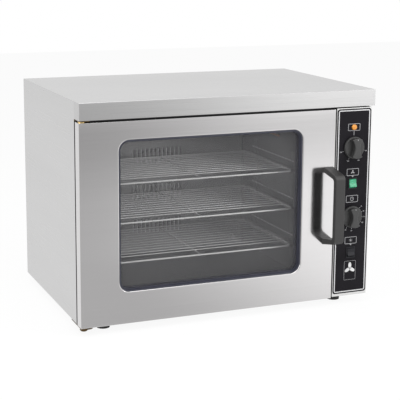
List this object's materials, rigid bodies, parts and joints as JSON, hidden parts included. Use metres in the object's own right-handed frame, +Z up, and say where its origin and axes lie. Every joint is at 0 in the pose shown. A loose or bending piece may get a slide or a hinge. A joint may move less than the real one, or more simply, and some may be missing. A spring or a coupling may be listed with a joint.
{
  "type": "countertop convection oven",
  "caption": "Free-standing electric convection oven with a side-hinged glazed door, bow handle, wire shelves and an upright control panel beside the door.",
  "frame": {"origin": "centre of the overall box at the level of the feet, so it stands on Z = 0", "axes": "+X towards the control panel along the width, +Y backwards from the door, +Z up"},
  "size_m": [0.81, 0.613, 0.581],
  "materials": {
    "stainless_case": "fine brushed stainless steel, satin",
    "stainless_door": "brushed stainless steel, grain along the width",
    "galvanised": "plain galvanised sheet",
    "cavity_steel": "dull stainless lining, heat-darkened",
    "wire_chrome": "bright chromed wire",
    "rack_steel": "pressed stainless steel",
    "screw_steel": "bright zinc-plated steel",
    "insulation": "compressed mineral wool",
    "seal_silicone": "matt black silicone",
    "gasket": "dark blue-black silicone",
    "door_glass": "tinted toughened glass",
    "clear_glass": "clear heat-resisting glass",
    "handle_plastic": "matt black moulded phenolic",
    "knob_plastic": "satin black moulded plastic",
    "overlay": "black polycarbonate label with silver line",
    "black_plastic": "semi-gloss black plastic",
    "green_lens": "translucent green, lit",
    "amber_lens": "translucent amber, lit",
    "brass": "turned brass",
    "passivated": "yellow passivated steel",
    "foot_rubber": "black moulded rubber",
    "element": "oxidised sheathed element",
    "aluminium": "cast aluminium",
    "motor_black": "black enamel",
    "magnet_case": "black plastic-cased magnet",
    "pale_plastic": "cream phenolic",
    "copper_tube": "drawn copper"
  },
  "bodies": {
    "cabinet": {"top_cover": "stainless_case", "left_side_panel": "stainless_case", "right_side_panel": "stainless_case", "rear_panel": "galvanised", "base_tray": "galvanised", "front_frame": "stainless_case", "partition_panel": "galvanised", "machine_screws": "screw_steel", "feet": "foot_rubber", "foot_screws": "screw_steel", "oven_cavity": "cavity_steel", "cavity_supports": "galvanised", "insulation_slabs": "insulation", "door_seal": "seal_silicone", "shelf_racks": "rack_steel", "fan_baffle": "cavity_steel", "baffle_posts": "screw_steel", "baffle_thumbscrews": "screw_steel", "heating_element": "element", "fan_motor": "motor_black", "motor_bracket": "galvanised", "thermostat_bulb": "copper_tube", "capillary_tube": "copper_tube", "oven_lamp_holder": "aluminium", "oven_lamp_lens": "clear_glass", "oven_lamp_bulb": "clear_glass", "control_fascia": "stainless_case", "fascia_overlay": "overlay", "thermostat_body": "pale_plastic", "timer_body": "pale_plastic", "indicator_lamp": "amber_lens", "switch_housings": "black_plastic", "limit_thermostat": "pale_plastic", "terminal_block": "pale_plastic", "cable_gland": "black_plastic", "hinge_brackets": "passivated", "hinge_pins": "screw_steel", "catch_magnet": "magnet_case"},
    "door": {"door_outer_skin": "stainless_door", "door_inner_panel": "stainless_case", "door_hinge_blocks": "screw_steel", "hinge_bushes": "brass", "outer_glass": "door_glass", "inner_glass": "clear_glass", "glass_gaskets": "gasket", "glass_retainers": "rack_steel", "door_handle": "handle_plastic", "handle_screws": "screw_steel", "catch_keeper": "screw_steel"},
    "thermostat_dial": {"thermostat_knob": "knob_plastic", "thermostat_spindle": "screw_steel"},
    "timer_dial": {"timer_knob": "knob_plastic", "timer_spindle": "screw_steel"},
    "power_switch": {"power_rocker": "green_lens"},
    "lamp_switch": {"lamp_rocker": "black_plastic"},
    "fan": {"fan_impeller": "aluminium", "motor_shaft": "screw_steel"},
    "bottom_shelf": {"shelf_bottom": "wire_chrome"},
    "middle_shelf": {"shelf_middle": "wire_chrome"},
    "top_shelf": {"shelf_top": "wire_chrome"}
  },
  "joints": [
    {"name": "door_hinge", "type": "hinge", "parent": "cabinet", "child": "door", "pos_m": [-0.393, -0.2235, 0.021], "axis": [0, 0, -1], "range_deg": [0, 170]},
    {"name": "thermostat_turn", "type": "hinge", "parent": "cabinet", "child": "thermostat_dial", "pos_m": [0.346, -0.2445, 0.4285], "axis": [0, 1, 0], "range_deg": [0, 270]},
    {"name": "timer_turn", "type": "hinge", "parent": "cabinet", "child": "timer_dial", "pos_m": [0.346, -0.2445, 0.2415], "axis": [0, 1, 0], "range_deg": [0, 300]},
    {"name": "power_rock", "type": "hinge", "parent": "cabinet", "child": "power_switch", "pos_m": [0.346, -0.238, 0.332], "axis": [1, 0, 0], "range_deg": [0, 22]},
    {"name": "lamp_rock", "type": "hinge", "parent": "cabinet", "child": "lamp_switch", "pos_m": [0.346, -0.238, 0.1435], "axis": [1, 0, 0], "range_deg": [0, 22]},
    {"name": "fan_spin", "type": "hinge", "parent": "cabinet", "child": "fan", "pos_m": [-0.057, 0.1755, 0.26], "axis": [0, 1, 0], "continuous": true},
    {"name": "bottom_shelf_slide", "type": "slide", "parent": "cabinet", "child": "bottom_shelf", "axis": [0, -1, 0], "range_m": [0, 0.02]},
    {"name": "middle_shelf_slide", "type": "slide", "parent": "cabinet", "child": "middle_shelf", "axis": [0, -1, 0], "range_m": [0, 0.02]},
    {"name": "top_shelf_slide", "type": "slide", "parent": "cabinet", "child": "top_shelf", "axis": [0, -1, 0], "range_m": [0, 0.02]}
  ]
}
